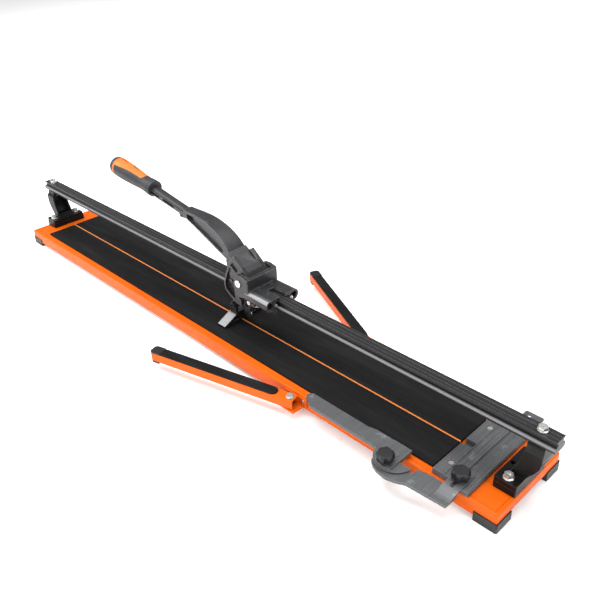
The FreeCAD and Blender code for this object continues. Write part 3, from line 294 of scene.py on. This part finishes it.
# Heights between which the breaker foot's machined faces give way to its raw casting.
MACHINED_FADE = (BASE_TOP + 0.022, BASE_TOP + 0.030)
MATERIALS = {
    "orange_powder_coat": powder_coat("orange_powder_coat", ORANGE),
    "inside_paint": powder_coat("inside_paint", shade(ORANGE, 0.9)),
    "black_rubber": mat_rubber("black_rubber", (0.0075, 0.0075, 0.008), (0.015, 0.015, 0.015)),
    "black_plastic": moulded_plastic("black_plastic", (0.008, 0.008, 0.009)),
    # The rail's lower bead carries a painted highlight band.
    "rail_anodised": anodised("rail_anodised", (0.018, 0.018, 0.019), (0.26, 0.26, 0.27), BEAD_HIGHLIGHT_BAND),
    "dark_casting": casting("dark_casting", CAST, CAST_BRIGHT, 0.45),
    "black_casting": casting("black_casting", (0.006, 0.006, 0.0065), (0.09, 0.09, 0.09), 0.16),
    "machined_casting": machined_casting("machined_casting", CAST, MACHINED, *MACHINED_FADE),
    "fence_aluminium": milled_aluminium("fence_aluminium", (0.090, 0.092, 0.096), (0.42, 0.42, 0.43)),
    "zinc_steel": zinc_plate("zinc_steel", (0.66, 0.67, 0.69)),
    "black_steel": zinc_plate("black_steel", (0.060, 0.060, 0.064), (0.11, 0.11, 0.12)),
    "wheel_steel": zinc_plate("wheel_steel", (0.50, 0.50, 0.52)),
    "roller_plastic": moulded_plastic("roller_plastic", (0.45, 0.43, 0.38)),
    "grip_rubber": grip_rubber("grip_rubber", (0.020, 0.020, 0.022)),
    "grip_orange": grip_rubber("grip_orange", (0.86, 0.150, 0.006)),
}
NODE_MATERIALS = {
    # The saddle's front tube carries a painted highlight band along its upper front.
    "carriage_body": casting("saddle_casting", CAST, CAST_BRIGHT, 0.45, TUBE_HIGHLIGHT_BAND),
    # Paler orange on the breaking rib: a painted highlight along the raised rib.
    "breaking_rib": powder_coat("rib_painted_highlight", (0.72, 0.22, 0.05)),
}
PRINT = print_ink("print_ink", (0.012, 0.012, 0.013))


# ---- CAD nodes ----------------------------------------------------------------------------------
BEVELS = {
    "base_plate": 0.0007, "breaking_rib": 0.0003, "rail": 0.0005, "ruler_channel": 0.0003,
    "carriage_body": 0.0007, "lever": 0.0008, "breaker_foot": 0.0006, "wheel_holder": 0.0006,
    "near_stand": 0.0010, "far_stand": 0.0010, "stand_spacers": 0.0008, "fence_block": 0.0003,
    "side_fence": 0.0004, "slide_bar": 0.0004, "swivel_arm": 0.0004, "corner_feet": 0.0008,
    "front_arm_bracket": 0.0004, "rear_arm_bracket": 0.0004, "stand_bolts": 0.0004,
    "rail_bolts": 0.0004, "arm_bolts": 0.0004, "pivot_nut": 0.0004, "pivot_bolt": 0.0004,
    "stand_washers": 0.0002, "front_mat": 0.0002, "rear_mat": 0.0002, "fence_knob": 0.0006,
    "protractor_knob": 0.0006,
}
SHARP_ANGLE = math.radians(30)
WELD_DISTANCE = 0.00001


def soften_edges(node, width):
    """Welds the split corners of a CAD node and rounds its sharp edges, without touching its mesh."""
    weld = node.modifiers.new("weld", "WELD")
    weld.merge_threshold = WELD_DISTANCE
    bevel = node.modifiers.new("bevel", "BEVEL")
    bevel.width = width
    bevel.segments = 2
    bevel.limit_method = "ANGLE"
    bevel.angle_limit = SHARP_ANGLE
    bevel.harden_normals = True


def dress_nodes():
    """Gives every CAD node its slot's material, or its own, and rounds the sharp ones."""
    for part in frame["record"]["subparts"]:
        node = frame["nodes"][part["node"]]
        node.data.materials.clear()
        slot_material = MATERIALS[part["material_slot"]]
        node.data.materials.append(NODE_MATERIALS.get(part["node"], slot_material))
        if part["node"] in BEVELS:
            soften_edges(node, BEVELS[part["node"]])


# ---- studio -------------------------------------------------------------------------------------
FLOOR_SIZE = 40.0
FLOOR_HEIGHT = -0.0005
FLOOR_GLOW = 0.22
WORLD_STRENGTH = 0.34
# Area lights: name, place, target, power in watts, width and depth of the panel.
LIGHTS = [
    ("overhead", (-0.1, 0.2, 2.6), (0.0, 0.0, 0.0), 92.0, 3.0, 2.0),
    ("front_strip", (0.3, -2.0, 1.0), (0.1, 0.0, 0.1), 30.0, 2.6, 0.5),
    ("near_end", (2.2, 0.1, 0.9), (0.3, 0.0, 0.1), 16.0, 0.8, 0.8),
    ("backdrop", (-1.8, 1.8, 1.8), (-3.6, 3.6, 0.0), 75.0, 4.0, 1.0),
    ("band_strip", (-1.4, -0.8, 1.6), (0.1, 0.0, 0.1), 16.0, 0.25, 2.4),
    ("far_edge", (-2.2, -0.6, 1.5), (-0.2, 0.0, 0.1), 16.0, 1.0, 1.4),
]


def add_floor():
    """Plain pale paper that glows a little, so that the background stays white."""
    bpy.ops.mesh.primitive_plane_add(size=FLOOR_SIZE, location=(0.0, 0.0, FLOOR_HEIGHT))
    floor = bpy.context.object
    floor.name = "floor"
    s = Shader("floor_paper", Roughness=0.9, Specular_IOR_Level=0.1, Emission_Strength=FLOOR_GLOW)
    s.colour(s.mix(s.noise(3.0), (0.93, 0.93, 0.93), (0.96, 0.96, 0.96)))
    floor.data.materials.append(s.material)


def aim(thing, place, target, roll=0.0):
    """Turns a light or camera so that its -Z axis looks from place to target."""
    direction = Vector(target) - Vector(place)
    turn = direction.to_track_quat("-Z", "Y").to_matrix().to_4x4()
    thing.matrix_world = Matrix.Translation(place) @ turn @ Matrix.Rotation(roll, 4, "Z")


def add_light(name, place, target, power, size_x, size_y):
    light = bpy.data.lights.new(name, "AREA")
    light.shape = "RECTANGLE"
    light.size = size_x
    light.size_y = size_y
    light.energy = power
    lamp = bpy.data.objects.new(name, light)
    bpy.context.collection.objects.link(lamp)
    aim(lamp, place, target)


def add_studio():
    world = bpy.data.worlds.new("studio")
    world.use_nodes = True
    world.node_tree.nodes["Background"].inputs["Color"].default_value = (1.0, 1.0, 1.0, 1.0)
    world.node_tree.nodes["Background"].inputs["Strength"].default_value = WORLD_STRENGTH
    bpy.context.scene.world = world
    for light in LIGHTS:
        add_light(*light)
    bpy.context.scene.view_settings.view_transform = "Standard"


CAMERA_PLACE = (1.0174, -0.7339, 0.8142)
CAMERA_AIM = (0.2245, 0.0, 0.1542)
CAMERA_ROLL = math.radians(-2.96)
CAMERA_LENS = 42.32


def add_camera():
    camera = bpy.data.cameras.new("camera")
    camera.lens = CAMERA_LENS
    camera.sensor_width = 36.0
    view = bpy.data.objects.new("camera", camera)
    bpy.context.collection.objects.link(view)
    aim(view, CAMERA_PLACE, CAMERA_AIM, CAMERA_ROLL)
    bpy.context.scene.camera = view


# ---- printed scales -----------------------------------------------------------------------------
INK = 0.00006
FENCE_SCALE_X = 0.6038
FENCE_STEP_TOP = BASE_TOP + 0.0086
CHANNEL_SCALE_X = 0.6296
SIDE_FENCE_TOP = BASE_TOP + 0.0054
PROTRACTOR_INNER = 0.0362
PROTRACTOR_OUTER = 0.0388
PROTRACTOR_LONG = 0.0402
MARK_STEP = 0.005
MARK_HALF_LINE = 0.00016
SEGMENTS = {"0": "abcdef", "1": "bc", "2": "abged", "3": "abgcd", "4": "fgbc", "5": "afgcd",
            "6": "afgedc", "7": "abc", "8": "abcdefg", "9": "abcdfg"}


def marks_mesh(name, boxes, body):
    """One piece made of thin printed rectangles given as (x0, x1, y0, y1, z of the face below)."""
    corners = []
    faces = []
    for x0, x1, y0, y1, z in boxes:
        start = len(corners)
        for height in (z, z + INK):
            corners += [(x0, y0, height), (x1, y0, height), (x1, y1, height), (x0, y1, height)]
        faces += [(start + 4, start + 5, start + 6, start + 7), (start, start + 3, start + 2, start + 1)]
        for side in range(4):
            after = (side + 1) % 4
            faces.append((start + side, start + after, start + after + 4, start + side + 4))
    mesh = bpy.data.meshes.new(name)
    mesh.from_pydata(corners, [], faces)
    mesh.materials.append(PRINT)
    piece = bpy.data.objects.new(name, mesh)
    bpy.context.collection.objects.link(piece)
    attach(piece, body)
    return piece


def digit_boxes(digit, x, y, z, tall=0.0030, wide=0.0016, line=0.00035):
    """Bars of one digit that is read from the near end, with its top towards -X."""
    half = tall / 2
    bars = {"a": (0, wide, tall - line, tall), "g": (0, wide, half - line / 2, half + line / 2),
            "d": (0, wide, 0, line), "f": (0, line, half, tall), "b": (wide - line, wide, half, tall),
            "e": (0, line, 0, half), "c": (wide - line, wide, 0, half)}
    boxes = []
    for bar in SEGMENTS[digit]:
        across_low, across_high, up_low, up_high = bars[bar]
        boxes.append((x - up_high, x - up_low, y + across_low, y + across_high, z))
    return boxes


def ruler_boxes(x, z, reach, numbers):
    """Millimetre-style scale that starts on the scoring line and runs both ways along Y."""
    boxes = []
    for step in range(-15, 16):
        y = step * MARK_STEP
        length = reach if step % 2 == 0 else reach * 0.6
        boxes.append((x, x + length, y - MARK_HALF_LINE, y + MARK_HALF_LINE, z))
    if numbers:
        for step in range(-3, 4):
            label = str(abs(step) * 2)
            boxes += digit_boxes(label, x + reach + 0.0042, 4 * step * MARK_STEP - 0.0008, z)
    return boxes


def add_scales():
    """Scales printed on the fence block's step and on the ruler channel."""
    boxes = ruler_boxes(FENCE_SCALE_X, FENCE_STEP_TOP, 0.0030, False)
    boxes += ruler_boxes(CHANNEL_SCALE_X, CHANNEL_TOP, 0.0034, True)
    marks_mesh("ruler_marks", boxes, "base")


def add_protractor():
    """Angle marks on the curved wing of the side fence, around the swivel arm's hub."""
    hub_low, hub_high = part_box("hub_rivet")
    centre = ((hub_low[0] + hub_high[0]) / 2, (hub_low[1] + hub_high[1]) / 2)
    boxes = []
    for degrees in range(240, 316, 5):
        angle = math.radians(degrees)
        inner = PROTRACTOR_INNER
        outer = PROTRACTOR_OUTER if degrees % 15 else PROTRACTOR_LONG
        for part in range(4):
            reach = inner + (outer - inner) * (part + 0.5) / 4
            x = centre[0] + reach * math.cos(angle)
            y = centre[1] + reach * math.sin(angle)
            boxes.append((x - 0.0003, x + 0.0003, y - 0.0004, y + 0.0004, SIDE_FENCE_TOP))
    marks_mesh("protractor_marks", boxes, "side_fence")


dress_nodes()
add_scales()
add_protractor()
add_floor()
add_studio()
add_camera()
